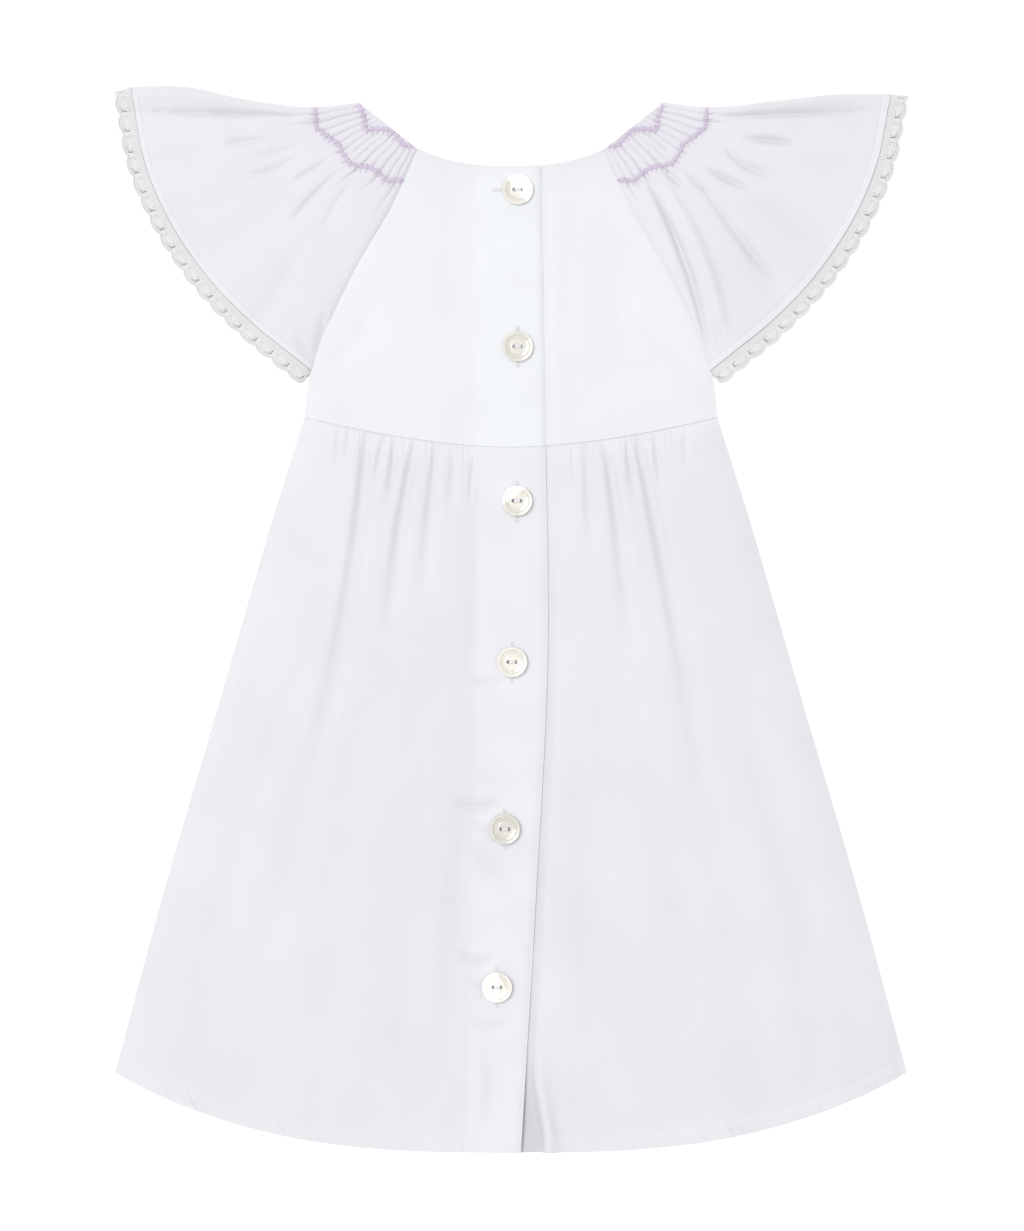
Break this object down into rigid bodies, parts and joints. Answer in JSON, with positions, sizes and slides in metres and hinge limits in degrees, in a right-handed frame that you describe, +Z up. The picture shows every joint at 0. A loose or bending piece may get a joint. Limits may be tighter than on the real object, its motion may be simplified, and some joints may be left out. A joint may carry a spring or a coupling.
{
  "type": "toddler dress",
  "caption": "Short-skirted child's dress laid flat on its front, buttoned down the back, with smocked flutter sleeves edged with crochet lace.",
  "frame": {"origin": "centre of the dress's outline, on the surface that it lies on", "axes": "+X to the right as seen from above, +Y from hem to neck, +Z up, out of the buttoned back"},
  "size_m": [0.3648, 0.4904, 0.0075],
  "materials": {
    "cotton": "plain-woven white cotton, matt with a slight sheen, with lilac smocking threads over the shoulders",
    "crochet_lace": "white cotton crochet edging, matt",
    "shell_button": "polished mother-of-pearl shell"
  },
  "bodies": {
    "root": {"bodice_front": "cotton", "bodice_back_left": "cotton", "bodice_back_right": "cotton", "skirt_front": "cotton", "skirt_back_left": "cotton", "skirt_back_right": "cotton", "sleeve_left": "cotton", "sleeve_right": "cotton", "lace_left": "crochet_lace", "lace_right": "crochet_lace", "button_1": "shell_button", "button_2": "shell_button", "button_3": "shell_button", "button_4": "shell_button", "button_5": "shell_button", "button_6": "shell_button"}
  },
  "joints": []
}
